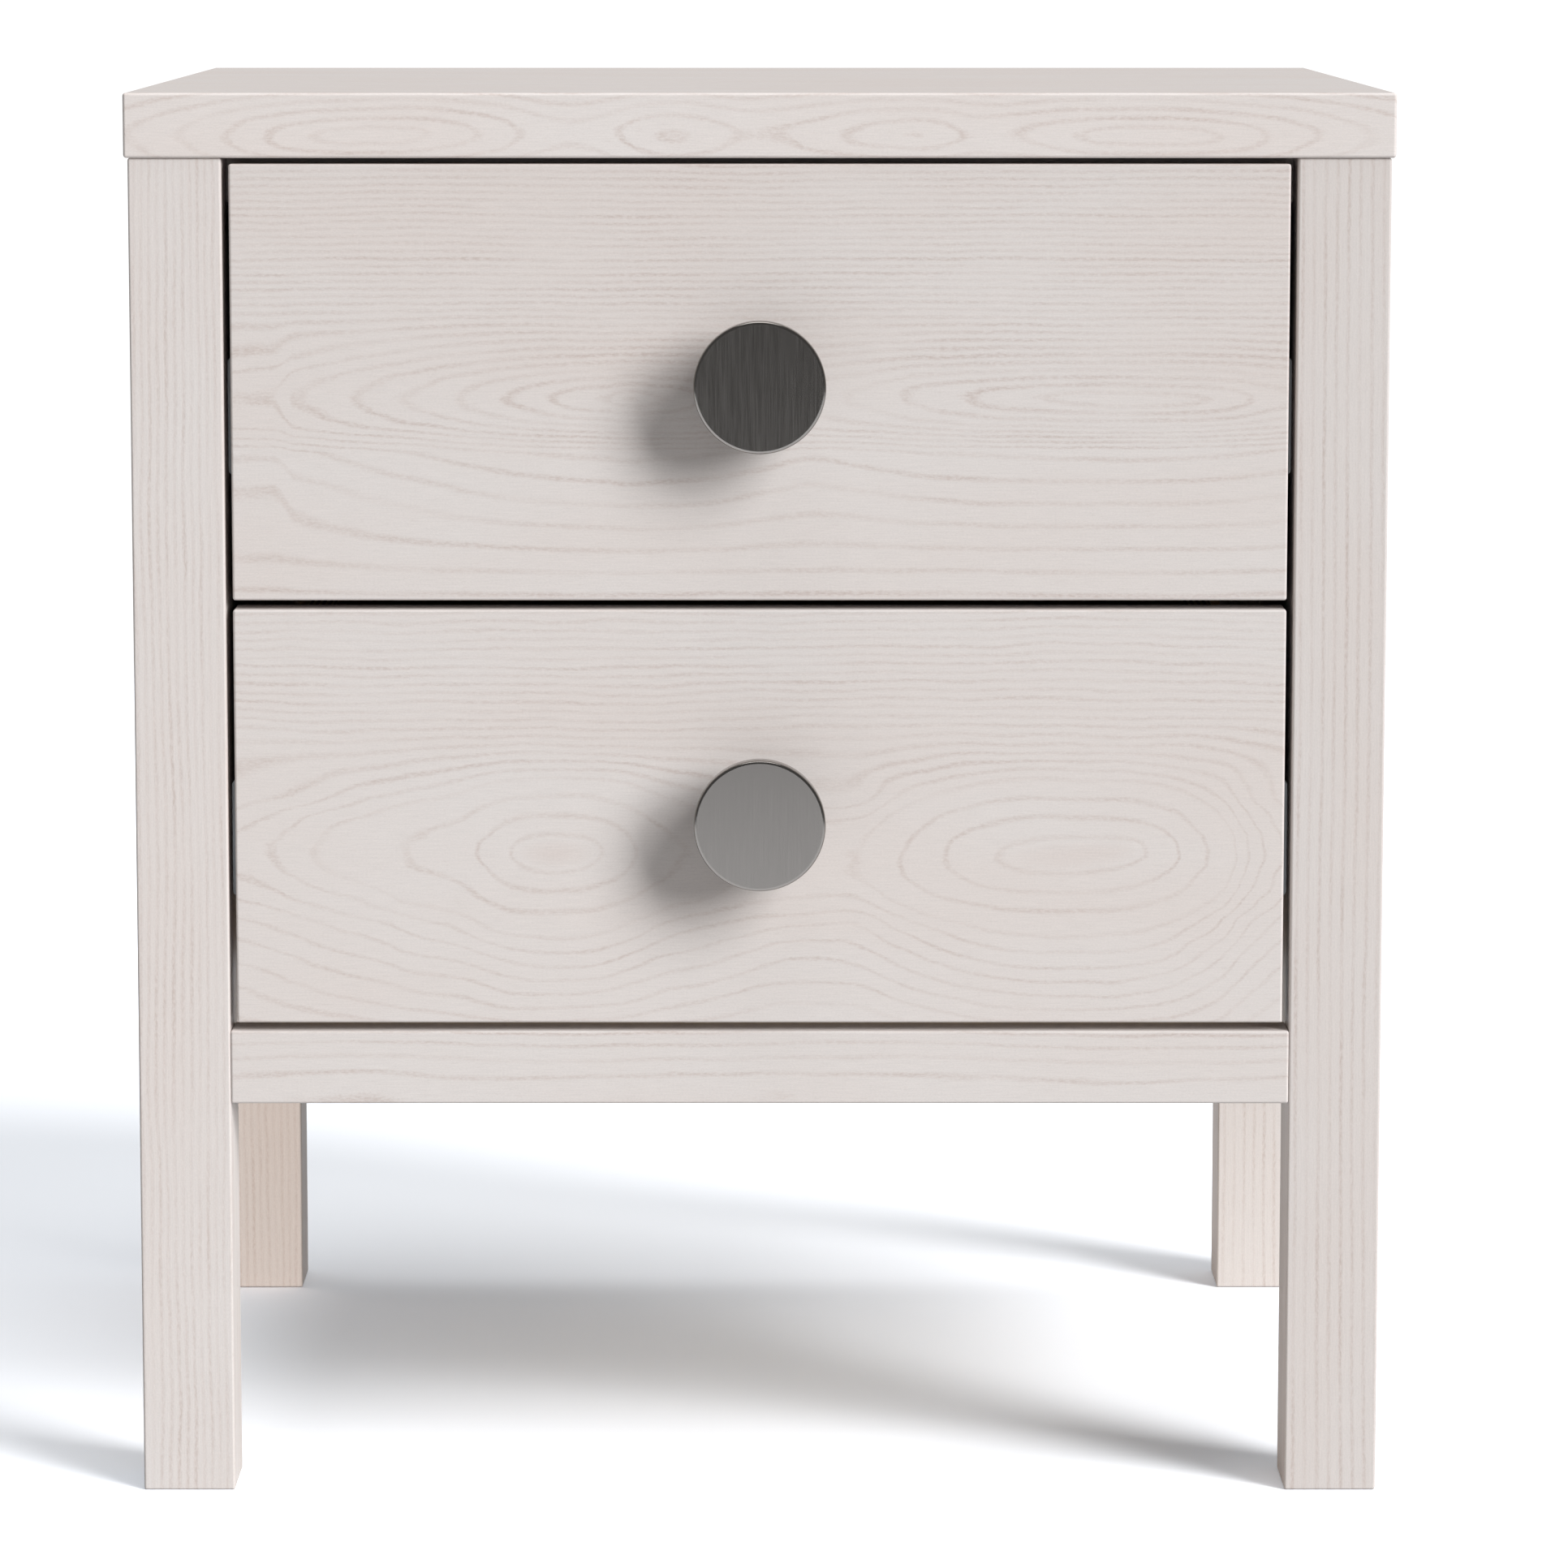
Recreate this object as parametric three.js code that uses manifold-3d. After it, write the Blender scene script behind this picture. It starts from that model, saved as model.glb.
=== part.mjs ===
// Nightstand with two drawers on four square legs. Millimetres, +Z up, drawers opening towards -Y.
// The origin is on the floor, under the middle of the closed nightstand's box.
import * as THREE from "three";
import { mergeVertices } from "three/addons/utils/BufferGeometryUtils.js";
import Module from "manifold-3d";

const wasm = await Module();
wasm.setup();

// Driving dimensions: the case
const height = 550;
const topWidth = 490;
const topDepth = 420;
const topThickness = 25;
const topOverhang = 1.5;
const legSide = 36;
const sideThickness = 16;
const sideInset = 4; // the side panels stand this far inside the legs' outer faces
const backThickness = 6;
const railDepth = 22;
const rearRailHeight = 40;
const topRailDepth = 40;
const topRailHeight = 18;
const tongueThickness = 8;
const tongueLength = 8;
const tenonLength = 12;
const tenonShoulder = 5;
const topTenonInset = 2; // the front top rail's tenon starts this far behind the rail's face
const topTenonBack = 4; // and ends this far before the leg's back
const jointGap = 0.3; // glue room round every tongue, tenon and screw
const overrun = 1; // how far a cut runs past the wood

// Driving dimensions: the heights of the drawer fronts and of the gaps between them
const caseBottom = 155.3;
const bottomRailHeight = 28.9;
const bottomGap = 3.3;
const lowerFrontHeight = 162.7;
const middleGap = 3.6;
const upperFrontHeight = 168.9;
const sideGap = 2.8;

// Driving dimensions: the drawers, measured from a drawer front's lower edge and its front face
const frontThickness = 20;
const boxThickness = 12;
const boxLength = 352;
const boxHeight = 120;
const boxLift = 16;
const bottomThickness = 6;
const bottomLift = 10;
const grooveDepth = 6;
const fixingScrewX = 140;
const fixingScrewHeights = [46, 112];

// Driving dimensions: knobs and screws
const knobFaceRadius = 25.5;
const knobBaseRadius = 19;
const knobProjection = 26;
const knobRim = 7.5; // how thick the straight rim behind the face is
const knobEdge = 1.2;
const knobSides = 48;
const knobScrewReach = 14;
const fixingScrewReach = 13;
const screwRadius = 2;
const screwHeadRadius = 4;
const screwHeadHeight = 2.4;
const screwCrown = [[1, 0], [0.9, 0.7], [0.5, 1]]; // the head's outline, as shares of its radius and height
const screwSides = 12;

// Driving dimensions: ball-bearing slides and top brackets
const slideSpace = 12.8;
const slideLength = 350;
const slideSetback = 2; // from the drawer front's rear face to the slide's front end
const slideLift = 70; // from the drawer front's lower edge to the slide's centre line
const steel = 1.2;
const cabinetMemberHalf = 22.75;
const middleMemberHalf = 18.4;
const drawerMemberHalf = 14.2;
const memberStep = 2.7; // from one member's web to the next, back to back
const flangeReach = 7.6;
const battenHeight = 50;
const bracketLeg = 20;
const bracketWidth = 20;
const bracketSteel = 1.5;
const bracketPlaces = [-60, 90];

// Worked out from the driving dimensions
const overallDepth = knobProjection + topDepth - topOverhang;
const frontPlane = knobProjection - overallDepth / 2;
const topFront = frontPlane - topOverhang;
const backPlane = topFront + topDepth - topOverhang;
const legOuter = topWidth / 2 - topOverhang;
const legInner = legOuter - legSide;
const legTop = height - topThickness;
const frontLegBack = frontPlane + legSide;
const backLegFront = backPlane - legSide;
const sideOuter = legOuter - sideInset;
const sideInner = sideOuter - sideThickness;
const tongueInner = (sideOuter + sideInner - tongueThickness) / 2;
const rearRailBack = backLegFront + railDepth;
const topRailFront = frontPlane + railDepth;
const lowerEdge = caseBottom + bottomRailHeight + bottomGap;
const upperEdge = lowerEdge + lowerFrontHeight + middleGap;
const frontHalf = legInner - sideGap;
const boxHalf = legInner - slideSpace;
const screwBore = (screwRadius + jointGap) / Math.cos(Math.PI / screwSides);

// Finishes
const ash = { color: 0xd8d0cb, roughness: 0.62, metalness: 0 };
const plywood = { color: 0xd2bd98, roughness: 0.7, metalness: 0 };
const gunmetal = { color: 0x55514e, roughness: 0.3, metalness: 1 };
const zinc = { color: 0xb4b8ba, roughness: 0.35, metalness: 1 };

function addMesh(parent, name, finish, geometry) {
  const mesh = new THREE.Mesh(geometry, new THREE.MeshStandardMaterial(finish));
  mesh.name = name;
  parent.add(mesh);
  return mesh;
}

// A board between two planes on each axis
function addBoard(parent, name, finish, [x0, x1], [y0, y1], [z0, z1]) {
  const board = addMesh(parent, name, finish, new THREE.BoxGeometry(x1 - x0, y1 - y0, z1 - z0));
  board.position.set((x0 + x1) / 2, (y0 + y1) / 2, (z0 + z1) / 2);
}

function solidOf(geometry) {
  geometry.deleteAttribute("normal");
  geometry.deleteAttribute("uv");
  const merged = mergeVertices(geometry);
  return new wasm.Manifold(new wasm.Mesh({
    numProp: 3,
    vertProperties: new Float32Array(merged.attributes.position.array),
    triVerts: new Uint32Array(merged.index.array),
  }));
}

function geometryOf(solid) {
  const { numProp, vertProperties, triVerts } = solid.getMesh();
  const geometry = new THREE.BufferGeometry();
  geometry.setAttribute("position", new THREE.BufferAttribute(new Float32Array(vertProperties), numProp));
  geometry.setIndex(new THREE.BufferAttribute(new Uint32Array(triVerts), 1));
  geometry.computeVertexNormals();
  return geometry;
}

function block([x0, x1], [y0, y1], [z0, z1]) {
  const geometry = new THREE.BoxGeometry(x1 - x0, y1 - y0, z1 - z0);
  return solidOf(geometry.translate((x0 + x1) / 2, (y0 + y1) / 2, (z0 + z1) / 2));
}

// A round bore along Y
function bore(x, [y0, y1], z) {
  const geometry = new THREE.CylinderGeometry(screwBore, screwBore, y1 - y0, screwSides);
  return solidOf(geometry.translate(x, (y0 + y1) / 2, z));
}

// An interval on the X axis, on the left (side -1) or on the right (side 1)
function onSide(side, near, far) {
  return side > 0 ? [near, far] : [-far, -near];
}

function grown([low, high]) {
  return [low - jointGap, high + jointGap];
}

function outline(points) {
  return new THREE.Shape(points.map(([u, v]) => new THREE.Vector2(u, v)));
}

// A section drawn in X and Z, run along Y from front to back
function addRun(parent, name, finish, points, front, back) {
  const geometry = new THREE.ExtrudeGeometry(outline(points), { depth: back - front, bevelEnabled: false });
  const run = addMesh(parent, name, finish, geometry);
  run.rotation.x = Math.PI / 2;
  run.position.y = back;
}

// The tenon of a rail: its own section, narrower than the rail by the shoulders
const tenonHeight = ([low, high]) => [low + tenonShoulder, high - tenonShoulder];
const tenonDepth = ([front, back]) => [
  (front + back - tongueThickness) / 2,
  (front + back + tongueThickness) / 2,
];

const nightstand = new THREE.Group();

// The rails across the case, each with a tenon at both ends
const rails = {
  front_bottom_rail: {
    y: [frontPlane, frontPlane + railDepth],
    z: [caseBottom, caseBottom + bottomRailHeight],
    legs: "front",
  },
  front_top_rail: {
    y: [topRailFront, topRailFront + topRailDepth],
    z: [legTop - topRailHeight, legTop],
    tenonY: [topRailFront + topTenonInset, frontLegBack - topTenonBack],
    legs: "front",
  },
  rear_bottom_rail: {
    y: [backLegFront, rearRailBack],
    z: [caseBottom, caseBottom + rearRailHeight],
    legs: "back",
  },
  rear_top_rail: {
    y: [backLegFront, rearRailBack],
    z: [legTop - rearRailHeight, legTop],
    legs: "back",
  },
};

for (const [name, rail] of Object.entries(rails)) {
  const reach = legInner + tenonLength;
  const tenon = block([-reach, reach], rail.tenonY ?? tenonDepth(rail.y), tenonHeight(rail.z));
  const body = block([-legInner, legInner], rail.y, rail.z);
  addMesh(nightstand, name, ash, geometryOf(body.add(tenon)));
}

// Legs, with a groove for the side panel, mortises for the rails and, at the back, the panel groove
const backPanelY = [rearRailBack, rearRailBack + backThickness];
for (const [end, front] of [["front", frontPlane], ["back", backLegFront]]) {
  for (const [hand, side] of [["left", -1], ["right", 1]]) {
    let leg = block(onSide(side, legInner, legOuter), [front, front + legSide], [0, legTop]);
    const grooveY = grown(end === "front"
      ? [frontLegBack - tongueLength, frontLegBack]
      : [backLegFront, backLegFront + tongueLength]);
    const openTop = [caseBottom - jointGap, legTop + jointGap];
    const grooveX = grown(onSide(side, tongueInner, tongueInner + tongueThickness));
    leg = leg.subtract(block(grooveX, grooveY, openTop));
    const mortiseX = grown(onSide(side, legInner, legInner + tenonLength));
    for (const rail of Object.values(rails).filter((each) => each.legs === end)) {
      const mortiseY = grown(rail.tenonY ?? tenonDepth(rail.y));
      leg = leg.subtract(block(mortiseX, mortiseY, grown(tenonHeight(rail.z))));
    }
    if (end === "back") {
      const panelX = grown(onSide(side, legInner, legInner + tongueLength));
      leg = leg.subtract(block(panelX, grown(backPanelY), openTop));
    }
    addMesh(nightstand, `${end}_${hand}_leg`, ash, geometryOf(leg));
  }
}

// The top board lies on the legs, the side panels and the top rails
addBoard(nightstand, "top_panel", ash,
  [-topWidth / 2, topWidth / 2], [topFront, topFront + topDepth], [legTop, height]);

// The back panel slides down into the back legs' grooves
const backReach = legInner + tongueLength;
addBoard(nightstand, "back_panel", plywood, [-backReach, backReach], backPanelY, [caseBottom, legTop]);

// Side panels, drawn in plan, with a tongue at each end
for (const [hand, side] of [["left", -1], ["right", 1]]) {
  const half = sideThickness / 2;
  const tongue = tongueThickness / 2;
  const middle = side * (sideInner + half);
  const plan = outline([
    [middle - half, frontLegBack], [middle - tongue, frontLegBack],
    [middle - tongue, frontLegBack - tongueLength], [middle + tongue, frontLegBack - tongueLength],
    [middle + tongue, frontLegBack], [middle + half, frontLegBack],
    [middle + half, backLegFront], [middle + tongue, backLegFront],
    [middle + tongue, backLegFront + tongueLength], [middle - tongue, backLegFront + tongueLength],
    [middle - tongue, backLegFront], [middle - half, backLegFront],
  ]);
  const geometry = new THREE.ExtrudeGeometry(plan, { depth: legTop - caseBottom, bevelEnabled: false });
  const panel = addMesh(nightstand, `${hand}_side_panel`, ash, geometry);
  panel.position.z = caseBottom;
}

// Angle brackets that hold the top board to the side panels
for (const [hand, side] of [["left", -1], ["right", 1]]) {
  bracketPlaces.forEach((place, index) => {
    const back = side * sideInner;
    const inner = side * (sideInner - bracketSteel);
    const tip = side * (sideInner - bracketLeg);
    const angle = [
      [back, legTop - bracketLeg], [back, legTop], [tip, legTop],
      [tip, legTop - bracketSteel], [inner, legTop - bracketSteel], [inner, legTop - bracketLeg],
    ];
    const name = `${hand}_${index ? "rear" : "front"}_top_bracket`;
    addRun(nightstand, name, zinc, angle, place - bracketWidth / 2, place + bracketWidth / 2);
  });
}

// A channel with its web at x = back, and its two flanges reaching towards the other side of the slide
function channel(back, inward, half) {
  const inner = back + inward * steel;
  const tip = back + inward * flangeReach;
  return [
    [back, -half], [tip, -half], [tip, steel - half], [inner, steel - half],
    [inner, half - steel], [tip, half - steel], [tip, half], [back, half],
  ];
}

// Three nested members on each side of a drawer, and the batten that packs them out from the side panel
function addSlides(drawer, edge) {
  const centre = edge + slideLift;
  const front = frontPlane + frontThickness + slideSetback;
  for (const [hand, side] of [["left", -1], ["right", 1]]) {
    addBoard(nightstand, `${drawer}_${hand}_runner_batten`, plywood, onSide(side, legInner, sideInner),
      [frontLegBack, backLegFront], [centre - battenHeight / 2, centre + battenHeight / 2]);
    const members = [
      ["cabinet", side * legInner, -side, cabinetMemberHalf],
      ["middle", side * (legInner - memberStep), -side, middleMemberHalf],
      ["drawer", side * boxHalf, side, drawerMemberHalf],
    ];
    for (const [member, back, inward, half] of members) {
      const section = channel(back, inward, half).map(([x, z]) => [x, z + centre]);
      addRun(nightstand, `${drawer}_${hand}_${member}_slide`, zinc, section, front, front + slideLength);
    }
  }
}

// A pan-head screw pointing towards -Y, with the underside of its head at y = 0
function addScrew(parent, name, length, x, y, z) {
  const crown = screwCrown.map(([across, up]) => [across * screwHeadRadius, up * screwHeadHeight]);
  const profile = [
    [0, -length], [screwRadius, -length], [screwRadius, 0], ...crown, [0, screwHeadHeight],
  ];
  const points = profile.map(([r, along]) => new THREE.Vector2(r, along));
  addMesh(parent, name, zinc, new THREE.LatheGeometry(points, screwSides)).position.set(x, y, z);
}

// A tapered knob, turned about Y, with its small end on the drawer front's face at y = 0
function addKnob(parent, name, z) {
  const boreEnd = -knobScrewReach - jointGap;
  const profile = [
    [0, -knobProjection], [knobFaceRadius - knobEdge, -knobProjection],
    [knobFaceRadius, knobEdge - knobProjection], [knobFaceRadius, knobRim - knobProjection],
    [knobBaseRadius, 0], [screwBore, 0], [screwBore, boreEnd], [0, boreEnd],
  ];
  const points = profile.map(([r, along]) => new THREE.Vector2(r, along));
  addMesh(parent, name, gunmetal, new THREE.LatheGeometry(points, knobSides)).position.z = z;
}

// A drawer, built in its own group: x = 0 in the middle, y = 0 at the front's face, z = 0 at its lower edge
function addDrawer(drawer, edge, frontHeight) {
  const group = new THREE.Group();
  group.position.set(0, frontPlane, edge);
  nightstand.add(group);

  const boxFront = frontThickness;
  const boxInside = boxFront + boxThickness;
  const boxBack = boxFront + boxLength;
  const wallTop = boxLift + boxHeight;
  const inner = boxHalf - boxThickness;
  const grooveFloor = inner + grooveDepth;
  const groove = [boxLift + bottomLift, boxLift + bottomLift + bottomThickness];
  const grooveRoom = grown(groove);
  const knobHeight = frontHeight / 2;

  let front = block([-frontHalf, frontHalf], [0, frontThickness], [0, frontHeight]);
  let wall = block([-inner, inner], [boxFront, boxInside], [boxLift, wallTop]);
  wall = wall.subtract(block([-boxHalf, boxHalf], [boxInside - grooveDepth, boxInside + overrun], grooveRoom));
  const knobBore = bore(0, [-overrun, boxInside + overrun], knobHeight);
  front = front.subtract(knobBore);
  wall = wall.subtract(knobBore);
  const screwPlaces = fixingScrewHeights.flatMap((z) => [[-fixingScrewX, z], [fixingScrewX, z]]);
  screwPlaces.forEach(([x, z], index) => {
    const pilot = bore(x, [boxFront - fixingScrewReach - jointGap, boxInside + overrun], z);
    front = front.subtract(pilot);
    wall = wall.subtract(pilot);
    const length = boxThickness + fixingScrewReach;
    addScrew(group, `${drawer}_front_screw_${index + 1}`, length, x, boxInside, z);
  });
  addMesh(group, `${drawer}_drawer_front`, ash, geometryOf(front));
  addMesh(group, `${drawer}_box_front`, plywood, geometryOf(wall));

  let rear = block([-inner, inner], [boxBack - boxThickness, boxBack], [boxLift, wallTop]);
  const rearGrooveY = [boxBack - boxThickness - overrun, boxBack - boxThickness + grooveDepth];
  rear = rear.subtract(block([-boxHalf, boxHalf], rearGrooveY, grooveRoom));
  addMesh(group, `${drawer}_box_back`, plywood, geometryOf(rear));

  for (const [hand, side] of [["left", -1], ["right", 1]]) {
    const section = [
      [side * boxHalf, boxLift], [side * boxHalf, wallTop], [side * inner, wallTop],
      [side * inner, grooveRoom[1]], [side * grooveFloor, grooveRoom[1]],
      [side * grooveFloor, grooveRoom[0]], [side * inner, grooveRoom[0]], [side * inner, boxLift],
    ];
    addRun(group, `${drawer}_box_${hand}_side`, plywood, section, boxFront, boxBack);
  }

  const bottomReach = grooveFloor - jointGap;
  const bottomY = [
    boxInside - grooveDepth + jointGap,
    boxBack - boxThickness + grooveDepth - jointGap,
  ];
  addBoard(group, `${drawer}_box_bottom`, plywood, [-bottomReach, bottomReach], bottomY, groove);

  addKnob(group, `${drawer}_knob`, knobHeight);
  addScrew(group, `${drawer}_knob_screw`, boxInside + knobScrewReach, 0, boxInside, knobHeight);
}

for (const [drawer, edge, frontHeight] of [
  ["upper", upperEdge, upperFrontHeight],
  ["lower", lowerEdge, lowerFrontHeight],
]) {
  addSlides(drawer, edge);
  addDrawer(drawer, edge, frontHeight);
}

export default nightstand;
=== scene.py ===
import math

import bmesh
import bpy
from mathutils import Matrix, Vector


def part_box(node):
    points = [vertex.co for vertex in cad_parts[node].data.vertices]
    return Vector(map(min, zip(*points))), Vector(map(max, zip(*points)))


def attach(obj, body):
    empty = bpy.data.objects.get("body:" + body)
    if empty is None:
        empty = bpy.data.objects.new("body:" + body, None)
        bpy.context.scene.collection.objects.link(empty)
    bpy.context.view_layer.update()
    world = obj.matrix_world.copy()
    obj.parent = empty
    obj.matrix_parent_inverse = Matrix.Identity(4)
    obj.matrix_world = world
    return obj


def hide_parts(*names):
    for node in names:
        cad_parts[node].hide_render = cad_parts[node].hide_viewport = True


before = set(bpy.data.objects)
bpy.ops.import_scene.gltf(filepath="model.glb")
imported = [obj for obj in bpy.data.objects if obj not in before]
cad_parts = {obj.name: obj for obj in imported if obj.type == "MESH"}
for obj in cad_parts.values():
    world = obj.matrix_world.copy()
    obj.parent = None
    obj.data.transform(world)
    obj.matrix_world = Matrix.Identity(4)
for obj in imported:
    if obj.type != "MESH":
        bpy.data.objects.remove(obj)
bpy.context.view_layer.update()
mm = 0.001
near = 0.01 * mm  # two places closer than this are the same place


# Small helpers: colours, shader nodes, and picking things up in edit mode

def srgb(hexColour):
    channels = [int(hexColour[i:i + 2], 16) / 255 for i in (1, 3, 5)]
    linear = [c / 12.92 if c <= 0.04045 else ((c + 0.055) / 1.055) ** 2.4 for c in channels]
    return (*linear, 1.0)


def setInputs(node, inputs):
    # an input takes a number or colour, a socket to link from, or a node for that node's first output
    for socket, value in inputs.items():
        if isinstance(value, bpy.types.Node):
            value = value.outputs[0]
        if isinstance(value, bpy.types.NodeSocket):
            node.id_data.links.new(value, node.inputs[socket])
        else:
            node.inputs[socket].default_value = value


def addNode(tree, kind, inputs=None, **settings):
    node = tree.nodes.new(f"ShaderNode{kind}")
    for name, value in settings.items():
        setattr(node, name, value)
    setInputs(node, inputs or {})
    return node


def newMaterial(name):
    material = bpy.data.materials.new(name)
    material.use_nodes = True
    return material, material.node_tree, material.node_tree.nodes["Principled BSDF"]


def putMaterial(piece, material):
    piece.data.materials.clear()
    piece.data.materials.append(material)


def lookAlone(piece):
    bpy.ops.object.select_all(action="DESELECT")
    piece.select_set(True)
    bpy.context.view_layer.objects.active = piece


def pick(piece, kind, wanted):
    # in edit mode, picks the corners, edges or faces (VERT, EDGE or FACE) that are wanted, and nothing else
    bpy.ops.mesh.select_mode(type=kind)
    bpy.ops.mesh.select_all(action="DESELECT")
    mesh = bmesh.from_edit_mesh(piece.data)
    for part in {"VERT": mesh.verts, "EDGE": mesh.edges, "FACE": mesh.faces}[kind]:
        part.select_set(wanted(part))
    bmesh.update_edit_mesh(piece.data)


def settleNew(name):
    # names the piece just added, and moves its place, turn and size into its mesh
    piece = bpy.context.object
    piece.name = name
    piece.data.name = name
    bpy.ops.object.transform_apply(location=True, rotation=True, scale=True)
    return piece


def faceOutwards(piece):
    lookAlone(piece)
    bpy.ops.object.mode_set(mode="EDIT")
    bpy.ops.mesh.select_all(action="SELECT")
    bpy.ops.mesh.normals_make_consistent(inside=False)
    bpy.ops.object.mode_set(mode="OBJECT")


def applyModifiers(piece):
    lookAlone(piece)
    for modifier in list(piece.modifiers):
        bpy.ops.object.modifier_apply(modifier=modifier.name)


def smoothByAngle(piece, degrees=32):
    # rounded edges shade softly, and the flat faces beside them stay flat
    lookAlone(piece)
    bpy.ops.object.shade_smooth_by_angle(angle=math.radians(degrees))
    flat = piece.modifiers.new("flat faces", "WEIGHTED_NORMAL")
    flat.mode = "FACE_AREA"
    flat.weight = 100
    flat.keep_sharp = True
    applyModifiers(piece)


# Woodwork, as at the bench: saw a block, ease its edges, cut its joints

def sawnBlock(name, low, high):
    low, high = Vector(low), Vector(high)
    bpy.ops.mesh.primitive_cube_add(size=1, location=(low + high) / 2, scale=high - low)
    return settleNew(name)


def easeEdges(piece, radius, steps=3):
    lookAlone(piece)
    bpy.ops.object.mode_set(mode="EDIT")
    bpy.ops.mesh.select_all(action="SELECT")
    bpy.ops.mesh.bevel(offset=radius, segments=steps, profile=0.5, affect="EDGES")
    bpy.ops.object.mode_set(mode="OBJECT")
    smoothByAngle(piece)


def cutAway(piece, cutter):
    cut = piece.modifiers.new("cut", "BOOLEAN")
    cut.operation = "DIFFERENCE"
    cut.solver = "EXACT"
    cut.object = cutter
    applyModifiers(piece)
    bpy.data.objects.remove(cutter)


def cutPocket(piece, low, high):
    cutAway(piece, sawnBlock("pocket", low, high))


def drillAlongY(piece, x, z, front, back, radius):
    bpy.ops.mesh.primitive_cylinder_add(vertices=24, radius=radius, depth=back - front,
                                        location=(x, (front + back) / 2, z),
                                        rotation=(math.pi / 2, 0, 0))
    cutAway(piece, settleNew("drill"))


# A tongue or tenon on the end that faces towards: its shoulders first, then its length
def growTenon(piece, towards, narrow, centre, length):
    towards = Vector(towards)
    lookAlone(piece)
    bpy.ops.object.mode_set(mode="EDIT")
    # the end itself, and not the narrow faces of its eased edges
    pick(piece, "FACE", lambda face: face.normal.dot(towards) > 0.99 and face.calc_area() > 100 * mm * mm)
    mesh = bmesh.from_edit_mesh(piece.data)
    middle = [face for face in mesh.faces if face.select][0].calc_center_median()
    bpy.ops.mesh.extrude_region_move(TRANSFORM_OT_translate={"value": (0, 0, 0)})
    bpy.ops.transform.resize(value=narrow, center_override=middle)
    aside = [0 if towards[i] else centre[i] - middle[i] for i in range(3)]
    bpy.ops.transform.translate(value=aside)
    bpy.ops.mesh.extrude_region_move(TRANSFORM_OT_translate={"value": towards * length})
    bpy.ops.object.mode_set(mode="OBJECT")


# The finishes

grainFrames = {  # which way a board's grain runs, and the face that shows its figure
    "alongX faceY": Matrix(((1, 0, 0), (0, 0, 1), (0, 1, 0))),
    "alongZ faceY": Matrix(((0, 0, 1), (1, 0, 0), (0, 1, 0))),
    "alongZ faceX": Matrix(((0, 0, 1), (0, 1, 0), (1, 0, 0))),
}

ashColours = {
    "wash": "#DFD9D6",        # where the white wash lies thick
    "warmWash": "#DED6D2",    # where the pinkish wood shows through it
    "growthLine": "#AE9589",  # the open pores of each year's early wood
    "core": "#CFBDB5",        # the redder wood at the heart of a figure
}

ashTexture = {  # how long along the grain and how wide across it each pattern runs, in millimetres
    "ripple": (22.0, 8.0), "ragged": (1.6, 1.0), "fades": (60.0, 12.0), "breaks": (2.4, 0.8),
    "strayPores": (4.0, 0.55), "cloud": (170.0, 50.0), "fibre": (11.0, 0.6), "speckle": (0.9, 0.6),
}


# How deep the heart of the log runs under the face, from end to end of the board, because the growth lines
# close to ovals where it is near. Far above the heart, and twice as far below it, the lines run calmer.
def heartDepth(tree, grain, along, across, through):
    deepest = max(depth for share, depth in grain["profile"])
    share = addNode(tree, "Math", {0: along, 1: 1 / grain["long"], 2: 0.5}, operation="MULTIPLY_ADD")
    profile = addNode(tree, "ValToRGB", {0: share})
    ramp = profile.color_ramp
    ramp.interpolation = grain["curve"]
    for index, (stop, depth) in enumerate(grain["profile"]):
        element = ramp.elements[index] if index < 2 else ramp.elements.new(stop)
        element.position = stop
        element.color = (depth / deepest, depth / deepest, depth / deepest, 1)
    below = addNode(tree, "Math", {0: across, 1: -0.5}, operation="MULTIPLY")
    aside = addNode(tree, "Math", {0: across, 1: below}, operation="MAXIMUM")
    calm = addNode(tree, "MapRange",
                   {0: aside, 1: grain["figure"], 2: grain["figure"] * 3, 3: deepest,
                    4: deepest * grain["calm"]}, interpolation_type="SMOOTHSTEP")
    return addNode(tree, "Math", {0: profile, 1: calm, 2: through}, operation="MULTIPLY_ADD")


# The height above the heart as the rings count it: the log grew faster on its lower side, so the rings are
# further apart there, past a few narrow ones
def ringHeight(tree, grain, across):
    fastFrom = addNode(tree, "Math", {0: across, 1: grain["fastFrom"]}, operation="ADD")
    slow = addNode(tree, "Math", {0: across, 1: -grain["fastFrom"]}, operation="MAXIMUM")
    fast = addNode(tree, "Math", {0: fastFrom, 1: 0.0}, operation="MINIMUM")
    pinch = addNode(tree, "MapRange",
                    {0: across, 1: -0.4 * grain["fastFrom"], 2: -grain["fastFrom"], 3: 0.0,
                     4: -grain["pinch"]}, interpolation_type="SMOOTHSTEP")
    pinched = addNode(tree, "Math", {0: slow, 1: pinch}, operation="ADD")
    return addNode(tree, "Math", {0: fast, 1: grain["fast"], 2: pinched}, operation="MULTIPLY_ADD")


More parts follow.
